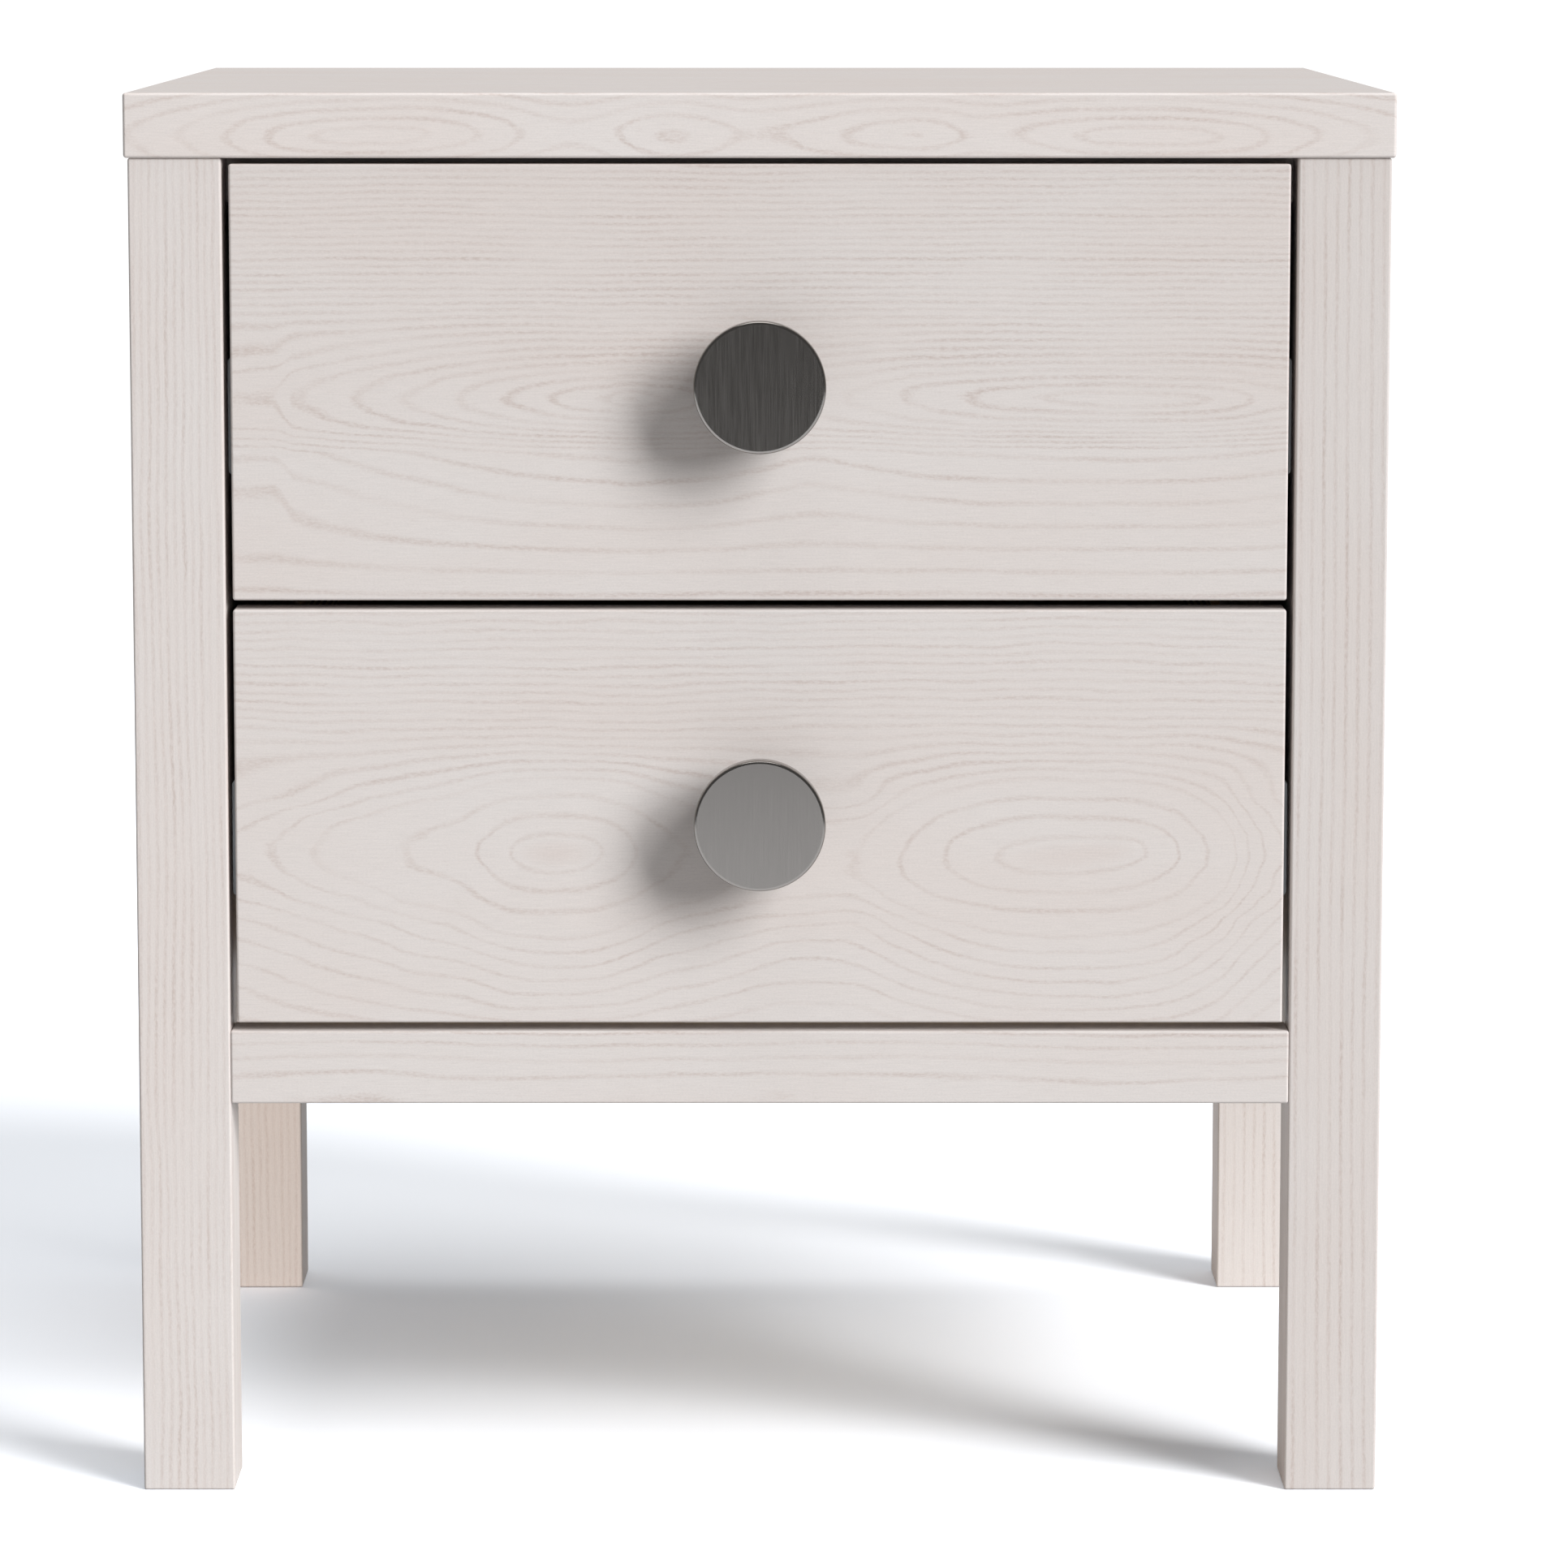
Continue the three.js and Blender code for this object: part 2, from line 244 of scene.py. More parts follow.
# The growth lines, from how far out each place lies in the log: which year it is, and how strongly it is on
# a line. The rings near the heart are wider than those outside them.
def growthLines(tree, grain, along, across, through):
    depth = heartDepth(tree, grain, along, across, through)
    height = ringHeight(tree, grain, across)
    depthSquared = addNode(tree, "Math", {0: depth, 1: depth}, operation="MULTIPLY")
    squares = addNode(tree, "Math", {0: height, 1: height, 2: depthSquared}, operation="MULTIPLY_ADD")
    radius = addNode(tree, "Math", {0: squares}, operation="SQRT")
    inner = addNode(tree, "Math", {0: radius, 1: grain["innerTo"]}, operation="MINIMUM")
    outer = addNode(tree, "Math", {0: radius, 1: inner}, operation="SUBTRACT")
    outerYears = addNode(tree, "Math", {0: outer, 1: grain["ring"]}, operation="DIVIDE")
    years = addNode(tree, "Math", {0: inner, 1: 1 / grain["innerRing"], 2: outerYears},
                    operation="MULTIPLY_ADD")
    blend = {0: radius, 1: grain["innerTo"] - 2, 2: grain["innerTo"] + 2}
    ringHere = addNode(tree, "MapRange", {**blend, 3: grain["innerRing"], 4: grain["ring"]})
    widthHere = addNode(tree, "MapRange", {**blend, 3: grain["heartLine"], 4: grain["line"]})

    # how far the nearest line is, in millimetres on the face, which cuts the rings more or less slantwise
    fraction = addNode(tree, "Math", {0: years, 1: 0.5}, operation="PINGPONG")
    inRing = addNode(tree, "Math", {0: fraction, 1: ringHere}, operation="MULTIPLY")
    steepness = addNode(tree, "Math", {0: height, 1: radius}, operation="DIVIDE")
    unsigned = addNode(tree, "Math", {0: steepness}, operation="ABSOLUTE")
    spread = addNode(tree, "MapRange",
                     {0: across, 1: -grain["fastFrom"] - 2, 2: 2 - grain["fastFrom"], 3: grain["fast"],
                      4: 1.0})
    drawnOut = addNode(tree, "Math", {0: unsigned, 1: spread}, operation="MULTIPLY")
    slant = addNode(tree, "Math", {0: drawnOut, 1: grain["tips"]}, operation="MAXIMUM")
    toLine = addNode(tree, "Math", {0: inRing, 1: slant}, operation="DIVIDE")
    line = addNode(tree, "MapRange", {0: toLine, 1: 0.1, 2: widthHere, 3: 1.0, 4: 0.0},
                   interpolation_type="SMOOTHSTEP")
    return radius, years, line


# White-washed ash: sawn, brushed open and wiped with thin white, so that the pores stay a pinkish brown in
# thin broken lines, and everything between them is chalky, matt and faintly speckled. Sizes in grain are
# millimetres, and a profile's places are shares of the board's length.
def whiteWashedAsh(name, grain):
    material, tree, shader = newMaterial(name)
    place = addNode(tree, "TexCoord").outputs["Object"]
    axes = grainFrames[grain["lie"]]
    rows = [addNode(tree, "VectorMath", {0: place, 1: tuple(row)}, operation="DOT_PRODUCT") for row in axes]
    turned = addNode(tree, "CombineXYZ", {i: row.outputs["Value"] for i, row in enumerate(rows)})
    fromHeart = addNode(tree, "VectorMath", {0: turned, 1: tuple(axes @ Vector(grain["heart"]))},
                        operation="SUBTRACT")
    inMillimetres = addNode(tree, "VectorMath", {0: fromHeart, "Scale": 1 / mm}, operation="SCALE")

    def streaks(size, detail=2.0):
        # a soft random pattern, so long along the grain and so wide across it
        long, wide = size
        sized = addNode(tree, "VectorMath", {0: inMillimetres, 1: (1 / long, 1 / wide, 1 / wide)},
                        operation="MULTIPLY")
        moved = addNode(tree, "VectorMath", {0: sized, 1: (grain["seed"] * 3.1, grain["seed"] * 1.7, 0.0)},
                        operation="ADD")
        return addNode(tree, "TexNoise", {"Vector": moved, "Scale": 1.0, "Detail": detail, "Roughness": 0.55})

    # the growth rings wander slowly, ripple a little and have ragged edges
    bent = inMillimetres
    for bend, size in ((grain["wander"], grain["wanderOver"]), (grain["ripple"], ashTexture["ripple"]),
                       (grain["ragged"], ashTexture["ragged"])):
        push = addNode(tree, "VectorMath", {0: streaks(size).outputs["Color"], 1: (0.5, 0.5, 0.5)},
                       operation="SUBTRACT")
        bent = addNode(tree, "VectorMath", {0: push, 1: (0.0, bend, bend), 2: bent}, operation="MULTIPLY_ADD")
    along, across, through = addNode(tree, "SeparateXYZ", {0: bent}).outputs
    radius, years, pores = growthLines(tree, grain, along, across, through)

    # the lines come and go: each year its own strength, long fades, and short breaks where pores are closed
    ofYear = addNode(tree, "Math", {0: years}, operation="ROUND")
    yearly = addNode(tree, "TexWhiteNoise", {"W": ofYear}, noise_dimensions="1D")
    strength = addNode(tree, "MapRange", {0: yearly.outputs["Value"], 3: 0.55, 4: 1.0})
    fades = addNode(tree, "MapRange", {0: streaks(ashTexture["fades"]), 1: 0.35, 2: 0.65, 3: 0.35, 4: 1.0})
    breaks = addNode(tree, "MapRange", {0: streaks(ashTexture["breaks"]), 1: 0.36, 2: 0.62, 3: 0.3, 4: 1.0})
    for part in (strength, fades, breaks):
        pores = addNode(tree, "Math", {0: pores, 1: part}, operation="MULTIPLY")
    strayPores = addNode(tree, "MapRange",
                         {0: streaks(ashTexture["strayPores"]), 1: 0.6, 2: 0.72, 3: 0.0,
                          4: grain["stray"]})
    pores = addNode(tree, "Math", {0: pores, 1: strayPores}, operation="MAXIMUM")

    # wash over wood, the heart's redder core, and the pores' brown on top
    cloud = addNode(tree, "MapRange", {0: streaks(ashTexture["cloud"]), 1: 0.35, 2: 0.65})
    wash = addNode(tree, "Mix", {0: cloud, 6: srgb(ashColours["wash"]), 7: srgb(ashColours["warmWash"])},
                   data_type="RGBA")
    nearHeart = addNode(tree, "MapRange", {0: radius, 1: 1.5, 2: 6.0, 3: grain["core"], 4: 0.0})
    reddened = addNode(tree, "Mix", {0: nearHeart, 6: wash.outputs[2], 7: srgb(ashColours["core"])},
                       data_type="RGBA")
    amount = addNode(tree, "Math", {0: pores, 1: grain["contrast"]}, operation="MULTIPLY")
    lined = addNode(tree, "Mix", {0: amount, 6: reddened.outputs[2], 7: srgb(ashColours["growthLine"])},
                    data_type="RGBA")
    chalk = addNode(tree, "Math", {0: streaks(ashTexture["fibre"], 3.0), 1: streaks(ashTexture["speckle"])},
                    operation="ADD")
    shade = addNode(tree, "MapRange",
                    {0: chalk, 1: 0.6, 2: 1.4, 3: 0.94 * grain["tone"], 4: 1.06 * grain["tone"]})
    shaded = addNode(tree, "VectorMath", {0: lined.outputs[2], "Scale": shade}, operation="SCALE")
    rough = addNode(tree, "MapRange", {0: chalk, 1: 0.6, 2: 1.4, 3: 0.52, 4: 0.68})
    relief = addNode(tree, "Math", {0: pores, 1: -1.5, 2: chalk}, operation="MULTIPLY_ADD")
    bump = addNode(tree, "Bump", {"Strength": 0.3, "Distance": 0.05 * mm, "Height": relief})
    setInputs(shader, {"Base Color": shaded, "Roughness": rough, "IOR": 1.45, "Normal": bump})
    return material


birchColours = {"pale": "#E6D3B4", "dark": "#D3B88F", "longPly": "#D9C09A", "crossPly": "#9C7650"}


# Birch plywood: rotary-cut veneers under thin clear lacquer, so the faces are pale, warm and softly clouded,
# and every sawn edge shows the crossed plies as fine stripes. A ply is about 1.3 mm thick.
def birchPlywood(name, sheet):
    material, tree, shader = newMaterial(name)
    coordinates = addNode(tree, "TexCoord").outputs
    place = coordinates["Object"]
    through, along = Vector(sheet["through"]), Vector(sheet["along"])
    depth = addNode(tree, "VectorMath", {0: place, 1: through}, operation="DOT_PRODUCT")
    facing = addNode(tree, "VectorMath", {0: coordinates["Normal"], 1: through}, operation="DOT_PRODUCT")
    onFace = addNode(tree, "Math", {0: facing.outputs["Value"]}, operation="ABSOLUTE")
    onEdge = addNode(tree, "MapRange", {0: onFace, 1: 0.3, 2: 0.75, 3: 1.0, 4: 0.0})
    count = addNode(tree, "Math", {0: depth.outputs["Value"], 1: 1 / (sheet["ply"] * mm), 2: sheet["offset"]},
                    operation="MULTIPLY_ADD")
    pair = addNode(tree, "Math", {0: count, 1: 1.0}, operation="PINGPONG")
    crossPly = addNode(tree, "MapRange", {0: pair, 1: 0.4, 2: 0.6})
    # the fibres of the face ply are ten times as long as they are wide
    squeeze = [25.0 if value else 260.0 for value in along]
    stretchedPlace = addNode(tree, "VectorMath", {0: place, 1: squeeze}, operation="MULTIPLY")
    fibre = addNode(tree, "TexNoise",
                    {"Vector": stretchedPlace, "Scale": 4.0, "Detail": 3.0, "Roughness": 0.6})
    cloud = addNode(tree, "TexNoise",
                    {"Vector": stretchedPlace, "Scale": 0.22, "Detail": 2.0, "Distortion": 0.6})
    face = addNode(tree, "Mix", {0: cloud, 6: srgb(birchColours["pale"]), 7: srgb(birchColours["dark"])},
                   data_type="RGBA")
    edge = addNode(tree, "Mix",
                   {0: crossPly, 6: srgb(birchColours["longPly"]),
                    7: srgb(birchColours["crossPly"])}, data_type="RGBA")
    both = addNode(tree, "Mix", {0: onEdge, 6: face.outputs[2], 7: edge.outputs[2]}, data_type="RGBA")
    streak = addNode(tree, "MapRange", {0: fibre, 1: 0.25, 2: 0.75, 3: 0.93, 4: 1.05})
    shaded = addNode(tree, "VectorMath", {0: both.outputs[2], "Scale": streak}, operation="SCALE")
    rough = addNode(tree, "MapRange", {0: fibre, 1: 0.3, 2: 0.7, 3: 0.42, 4: 0.58})
    bump = addNode(tree, "Bump", {"Strength": 0.2, "Distance": 0.05 * mm, "Height": fibre})
    setInputs(shader, {"Base Color": shaded, "Roughness": rough, "IOR": 1.46, "Normal": bump})
    return material


def satinGunmetal():
    # Satin gunmetal: zinc alloy, brushed one way and plated dark, so it mirrors softly with faint upright
    # lines, 0.4 mm apart
    material, tree, shader = newMaterial("satin gunmetal plate")
    place = addNode(tree, "TexCoord").outputs["Object"]
    strokes = addNode(tree, "VectorMath", {0: place, 1: (2600.0, 2600.0, 45.0)}, operation="MULTIPLY")
    brushing = addNode(tree, "TexNoise", {"Vector": strokes, "Scale": 1.0, "Detail": 3.0, "Roughness": 0.6})
    tone = addNode(tree, "Mix", {0: brushing, 6: srgb("#7F7B77"), 7: srgb("#8B8783")}, data_type="RGBA")
    rough = addNode(tree, "MapRange", {0: brushing, 1: 0.3, 2: 0.7, 3: 0.15, 4: 0.23})
    bump = addNode(tree, "Bump", {"Strength": 0.15, "Distance": 0.01 * mm, "Height": brushing})
    setInputs(shader, {"Base Color": tone.outputs[2], "Roughness": rough, "Metallic": 1.0, "Normal": bump})
    return material


def zincPlate():
    # Bright zinc plate on pressed steel: cool grey, a little cloudy where the passivation is thicker
    material, tree, shader = newMaterial("bright zinc plate")
    place = addNode(tree, "TexCoord").outputs["Object"]
    cloud = addNode(tree, "TexNoise", {"Vector": place, "Scale": 90.0, "Detail": 3.0})
    tone = addNode(tree, "Mix", {0: cloud, 6: srgb("#A9AEB2"), 7: srgb("#C4C6C4")}, data_type="RGBA")
    rough = addNode(tree, "MapRange", {0: cloud, 1: 0.3, 2: 0.7, 3: 0.28, 4: 0.42})
    setInputs(shader, {"Base Color": tone.outputs[2], "Roughness": rough, "Metallic": 1.0})
    return material


gunmetal = satinGunmetal()
zinc = zincPlate()
print("finishes mixed")


# Boards: each new board stands for its CAD node, fills its box, and is cut from its own place in the log.
# A grain's heart is where the middle of the log runs; its sizes are millimetres.

joinery = {"ease": 1.0, "glueGap": 0.3, "tenonThick": 8.0, "tenonShoulder": 5.0,
           "flatTenonInset": 2.0, "flatTenonBack": 4.0}

plainSawn = {
    "wander": 7.0, "wanderOver": (150.0, 60.0),  # how far the rings wander, and over what length and height
    "ripple": 1.6, "ragged": 0.7,
    "ring": 3.2, "innerRing": 6.0,               # a year's growth, outside and near the heart
    "innerTo": 24.0,
    "fast": 0.6, "fastFrom": 22.0,               # the rings spread out this much, from this far below
    "pinch": 0.0,                                # and are narrower by so much in all just above that
    "line": 1.15, "heartLine": 1.5,              # half of a line's width, with its soft edge
    "tips": 0.45,                                # the lower, the wider the lines at the tips of ovals
    "curve": "B_SPLINE",
    "figure": 22.0, "calm": 0.5,                 # ovals keep within the figure, and lines run calm beyond it
    "contrast": 0.43, "stray": 0.22, "core": 0.0, "tone": 1.0,
}


def heartAt(node, x=0.5, y=0.5, z=0.5, off=(0, 0, 0)):
    low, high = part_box(node)
    share = (x, y, z)
    return tuple(low[i] + (high[i] - low[i]) * share[i] + off[i] * mm for i in range(3))


def finishBoard(board, node, body, material):
    smoothByAngle(board)
    putMaterial(board, material)
    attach(board, body)
    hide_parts(node)
    return board


def ashMaterial(board, grain):
    # the board's length along its grain sets the scale of its profile
    axis = 0 if grain["lie"].startswith("alongX") else 2
    places = [corner.co[axis] for corner in board.data.vertices]
    long = (max(places) - min(places)) / mm
    return whiteWashedAsh(f"white-washed ash, {board.name}", {"long": long, **plainSawn, **grain})


# the top board
topBoard = {"ease": 1.2, "grain": {
    "lie": "alongX faceY", "seed": 1, "heart": heartAt("top_panel", 0.5, 0, 0.35), "tone": 1.06,
    "ring": 3.6, "innerRing": 3.5, "wander": 4.0, "curve": "CARDINAL",
    "profile": [(0, 18), (0.1, 8), (0.2, 1), (0.3, 9), (0.36, 13), (0.43, 7), (0.5, 11), (0.62, 4), (0.68, 8),
                (0.8, 2), (0.9, 7), (1, 15)]}}
board = sawnBlock("ash_top_board", *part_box("top_panel"))
easeEdges(board, topBoard["ease"] * mm)
finishBoard(board, "top_panel", "case", ashMaterial(board, topBoard["grain"]))

# rails between the legs, with a tenon at each end
railSeeds = {"front_bottom_rail": 2, "front_top_rail": 33, "rear_bottom_rail": 34, "rear_top_rail": 35}
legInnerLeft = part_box("front_left_leg")[1].x
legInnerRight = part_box("front_right_leg")[0].x


def tenonSpan(node):
    # the tenon's lowest and highest y and z: inset by the shoulders, and on the flat top rail inside the leg
    low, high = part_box(node)
    if node == "front_top_rail":
        across = (low.y + joinery["flatTenonInset"] * mm,
                  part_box("front_left_leg")[1].y - joinery["flatTenonBack"] * mm)
    else:
        middle = (low.y + high.y) / 2
        half = joinery["tenonThick"] / 2 * mm
        across = (middle - half, middle + half)
    shoulder = joinery["tenonShoulder"] * mm
    return across, (low.z + shoulder, high.z - shoulder)


for node, seed in railSeeds.items():
    low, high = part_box(node)
    tenonLength = legInnerLeft - low.x
    rail = sawnBlock(f"ash_{node}", (legInnerLeft, low.y, low.z), (legInnerRight, high.y, high.z))
    easeEdges(rail, joinery["ease"] * mm)
    (front, back), (bottom, top) = tenonSpan(node)
    narrow = (1, (back - front) / (high.y - low.y), (top - bottom) / (high.z - low.z))
    centre = (0, (front + back) / 2, (bottom + top) / 2)
    for side in (-1, 1):
        growTenon(rail, (side, 0, 0), narrow, centre, tenonLength)
    grain = {"lie": "alongX faceY", "seed": seed, "heart": heartAt(node, 0.5, 0, 0.5, (0, 0, -14)),
             "ring": 4.2, "innerRing": 5.0, "wander": 9.0,
             "profile": [(0, 10), (0.25, 14), (0.5, 8), (0.75, 13), (1, 9)]}
    finishBoard(rail, node, "case", ashMaterial(rail, grain))

# square legs, cut to take the side panels, the rails and the back panel
gap = Vector((1, 1, 1)) * joinery["glueGap"] * mm


def legPockets(leg, end, hand):
    # the lowest and highest corner of each; the panels' grooves run out at the leg's top
    panelLow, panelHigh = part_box(f"{hand}_side_panel")
    middle = (panelLow.x + panelHigh.x) / 2
    half = joinery["tenonThick"] / 2 * mm
    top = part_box(leg)[1].z + mm
    slots = [((middle - half, panelLow.y, panelLow.z), (middle + half, panelHigh.y, top))]
    for node in railSeeds:
        if node.startswith("front") == (end == "front"):
            low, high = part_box(node)
            (front, back), (bottom, roof) = tenonSpan(node)
            slots.append(((low.x, front, bottom), (high.x, back, roof)))
    if end == "back":
        low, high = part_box("back_panel")
        slots.append((low, (high.x, high.y, top)))
    return slots


legGrains = {
    "left": {"seed": 5, "aside": (-62, 0, 0), "wander": 9.0, "ring": 3.1, "ripple": 1.2, "contrast": 0.4,
             "tone": 1.02},
    "right": {"seed": 6, "aside": (74, 0, 0), "wander": 3.5, "ring": 2.6, "ripple": 0.6, "contrast": 0.42,
              "tone": 0.95},
}
for end in ("front", "back"):
    for hand in ("left", "right"):
        node = f"{end}_{hand}_leg"
        leg = sawnBlock(f"ash_{node}", *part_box(node))
        easeEdges(leg, joinery["ease"] * mm)
        for low, high in legPockets(node, end, hand):
            cutPocket(leg, Vector(low) - gap, Vector(high) + gap)
        grain = {"lie": "alongZ faceY", "heart": heartAt(node, 0.5, 0, 0.5, legGrains[hand]["aside"]),
                 "profile": [(0, 16), (0.3, 8), (0.6, 14), (1, 6)], **legGrains[hand],
                 "seed": legGrains[hand]["seed"] + (40 if end == "back" else 0)}
        finishBoard(leg, node, "case", ashMaterial(leg, grain))

# side panels, with a tongue along each upright edge
for seed, hand in ((9, "left"), (10, "right")):
    node = f"{hand}_side_panel"
    low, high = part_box(node)
    front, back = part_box("front_left_leg")[1].y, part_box("back_left_leg")[0].y
    panel = sawnBlock(f"ash_{node}", (low.x, front, low.z), (high.x, back, high.z))
    easeEdges(panel, joinery["ease"] * mm)
    narrow = (joinery["tenonThick"] * mm / (high.x - low.x), 1, 1)
    for towards in (-1, 1):
        centre = ((low.x + high.x) / 2, 0, (low.z + high.z) / 2)
        growTenon(panel, (0, towards, 0), narrow, centre, front - low.y)
    grain = {"lie": "alongZ faceX", "seed": seed, "heart": heartAt(node, 0.5, 0.4, 0.5), "long": 740,
             "innerRing": 7.0, "innerTo": 42.0, "ring": 4.2, "fastFrom": 40.0,
             "profile": [(0, 44), (0.2, 30), (0.36, 6), (0.42, 4), (0.55, 22), (0.75, 36), (1, 50)]}
    finishBoard(panel, node, "case", ashMaterial(panel, grain))
print("case joined")

# drawer fronts, each bored from behind for its knob screw and its four fixing screws
frontGrains = {
    "upper": {"lie": "alongX faceY", "seed": 20, "heart": heartAt("upper_drawer_front", 0.5, 0, 0.465),
              "ring": 2.8, "innerRing": 2.9, "innerTo": 21.0, "fast": 0.32, "fastFrom": 21.0, "pinch": 4.0,
              "wander": 3.5, "wanderOver": (110.0, 60.0), "figure": 14.0, "calm": 0.25, "curve": "CARDINAL",
              "profile": [(0, 23), (0.057, 20.5), (0.36, 3), (0.4, 2.6), (0.53, 12), (0.6, 11), (0.64, 8.6),
                          (0.705, 5.7), (0.773, 2.9), (0.845, 0.9), (0.917, 2.9), (0.96, 5.7), (1, 8.6)]},
    "lower": {"lie": "alongX faceY", "seed": 21, "heart": heartAt("lower_drawer_front", 0.5, 0, 0.41),
              "ring": 3.4, "innerRing": 7.5, "innerTo": 30.0, "fast": 0.6, "fastFrom": 26.0, "wander": 7.0,
              "wanderOver": (90.0, 45.0), "ripple": 2.2, "core": 0.3, "curve": "CARDINAL", "figure": 20.0,
              "calm": 0.2, "heartLine": 1.8, "contrast": 0.38,
              "profile": [(0, 36), (0.15, 24), (0.226, 16), (0.304, 1), (0.39, 17), (0.46, 26), (0.55, 31),
                          (0.62, 26), (0.72, 9), (0.83, 3), (0.9, 14), (0.95, 28), (1, 40)]},
}
screwHole = {"radius": 2.4, "pastTip": 0.3, "pastHead": 2.0}


def screwsOf(drawer):
    return [f"{drawer}_knob_screw", *(f"{drawer}_front_screw_{i}" for i in (1, 2, 3, 4))]


def boreForScrews(board, drawer):
    for node in screwsOf(drawer):
        low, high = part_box(node)
        drillAlongY(board, (low.x + high.x) / 2, (low.z + high.z) / 2, low.y - screwHole["pastTip"] * mm,
                    high.y + screwHole["pastHead"] * mm, screwHole["radius"] * mm)


for drawer, grain in frontGrains.items():
    node = f"{drawer}_drawer_front"
    front = sawnBlock(f"ash_{node}", *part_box(node))
    easeEdges(front, joinery["ease"] * mm)
    boreForScrews(front, drawer)
    finishBoard(front, node, f"{drawer}_drawer", ashMaterial(front, grain))

# drawer boxes, the battens and the back, all in birch plywood
plywoodSheets = {
    "box": {"ease": 0.6, "ply": 1.33},
    "bottom": {"ease": 0.3, "ply": 1.2},
}


def plyBoard(node, sheet, thin):
    # thin is the axis across the sheet; the face grain follows its longest side
    low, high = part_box(node)
    board = sawnBlock(f"birch_{node}", low, high)
    easeEdges(board, sheet["ease"] * mm, 2)
    through = [0, 0, 0]
    through[thin] = 1
    sizes = high - low
    along = [0, 0, 0]
    along[max(range(3), key=lambda axis: sizes[axis])] = 1
    offset = -low[thin] / (sheet["ply"] * mm)
    material = birchPlywood(f"birch plywood, {board.name}",
                            {"through": through, "along": along, "ply": sheet["ply"], "offset": offset})
    return board, material


for drawer in ("upper", "lower"):
    body = f"{drawer}_drawer"
    floorLow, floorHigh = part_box(f"{drawer}_box_bottom")
    for name, thin in (("box_front", 1), ("box_back", 1), ("box_left_side", 0), ("box_right_side", 0)):
        node = f"{drawer}_{name}"
        wall, material = plyBoard(node, plywoodSheets["box"], thin)
        grooveLow, grooveHigh = Vector(floorLow) - gap, Vector(floorHigh) + gap
        wallLow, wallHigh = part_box(node)
        for axis in (0, 1):  # the groove runs out at both ends of the wall
            if axis != thin:
                grooveLow[axis], grooveHigh[axis] = wallLow[axis] - mm, wallHigh[axis] + mm
        cutPocket(wall, grooveLow, grooveHigh)
        if name == "box_front":
            boreForScrews(wall, drawer)
        finishBoard(wall, node, body, material)
    bottom, material = plyBoard(f"{drawer}_box_bottom", plywoodSheets["bottom"], 2)
    finishBoard(bottom, f"{drawer}_box_bottom", body, material)
    for hand in ("left", "right"):
        node = f"{drawer}_{hand}_runner_batten"
        batten, material = plyBoard(node, plywoodSheets["box"], 0)
        finishBoard(batten, node, "case", material)
back, material = plyBoard("back_panel", plywoodSheets["bottom"], 1)
finishBoard(back, "back_panel", "case", material)
print("drawer boxes made")


# Turned knobs: a tapered plug with its small end on the drawer, a straight rim, and a flat soft-edged face

knobShape = {
    "sides": 128,
    "base": 19.0,
    "baseEdge": 0.6,
    "face": 25.5,
    "rim": 7.5,          # how thick the straight rim is
    "rimEdge": 1.2,
    "edgeSteps": 5,
}


def turnKnob(drawer):
    low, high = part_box(f"{drawer}_knob")
    centreX, centreZ = (low.x + high.x) / 2, (low.z + high.z) / 2
    depths = [(high.y - low.y) - knobShape["rim"] * mm, knobShape["rim"] * mm]
    scales = [knobShape["face"] / knobShape["base"], 1]
    bpy.ops.mesh.primitive_circle_add(vertices=knobShape["sides"], radius=knobShape["base"] * mm,
                                      fill_type="NGON", location=(centreX, high.y, centreZ),
                                      rotation=(math.pi / 2, 0, 0))
    knob = settleNew(f"gunmetal_{drawer}_knob")
    bpy.ops.object.mode_set(mode="EDIT")
    bpy.ops.mesh.select_all(action="SELECT")
    y = high.y
    for depth, scale in zip(depths, scales):
        bpy.ops.mesh.extrude_region_move(TRANSFORM_OT_translate={"value": (0, -depth, 0)})
        y -= depth
        bpy.ops.transform.resize(value=(scale, 1, scale), center_override=(centreX, y, centreZ))
    for edgeY, size in ((high.y, "baseEdge"), (low.y, "rimEdge"), (y + depths[1], "rimEdge")):
        pick(knob, "EDGE", lambda edge: all(abs(corner.co.y - edgeY) < near for corner in edge.verts))
        bpy.ops.mesh.bevel(offset=knobShape[size] * mm, segments=knobShape["edgeSteps"], profile=0.5,
                           affect="EDGES")
    bpy.ops.object.mode_set(mode="OBJECT")
    faceOutwards(knob)
    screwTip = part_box(f"{drawer}_knob_screw")[0].y
    drillAlongY(knob, centreX, centreZ, screwTip - screwHole["pastTip"] * mm, high.y + mm,
                screwHole["radius"] * mm)
    smoothByAngle(knob, 30)
    putMaterial(knob, gunmetal)
    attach(knob, f"{drawer}_drawer")
    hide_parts(f"{drawer}_knob")


for drawer in ("upper", "lower"):
    turnKnob(drawer)
print("knobs turned")


# Hardware. What repeats is made once, on the left or for one hole, and each copy gets its own mesh.

def copyOf(piece, name, shift=(0, 0, 0), mirrored=False):
    lookAlone(piece)
    bpy.ops.object.duplicate()
    twin = bpy.context.object
    twin.location = shift
    twin.scale = (-1 if mirrored else 1, 1, 1)
    settleNew(name)
    if mirrored:
        faceOutwards(twin)
    return twin


def joined(name, pieces):
    lookAlone(pieces[0])
    for piece in pieces:
        piece.select_set(True)
    bpy.ops.object.join()
    pieces[0].name = name
    pieces[0].data.name = name
    return pieces[0]


def fitHardware(piece, body, node=None):
    putMaterial(piece, zinc)
    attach(piece, body)
    if node:
        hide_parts(node)


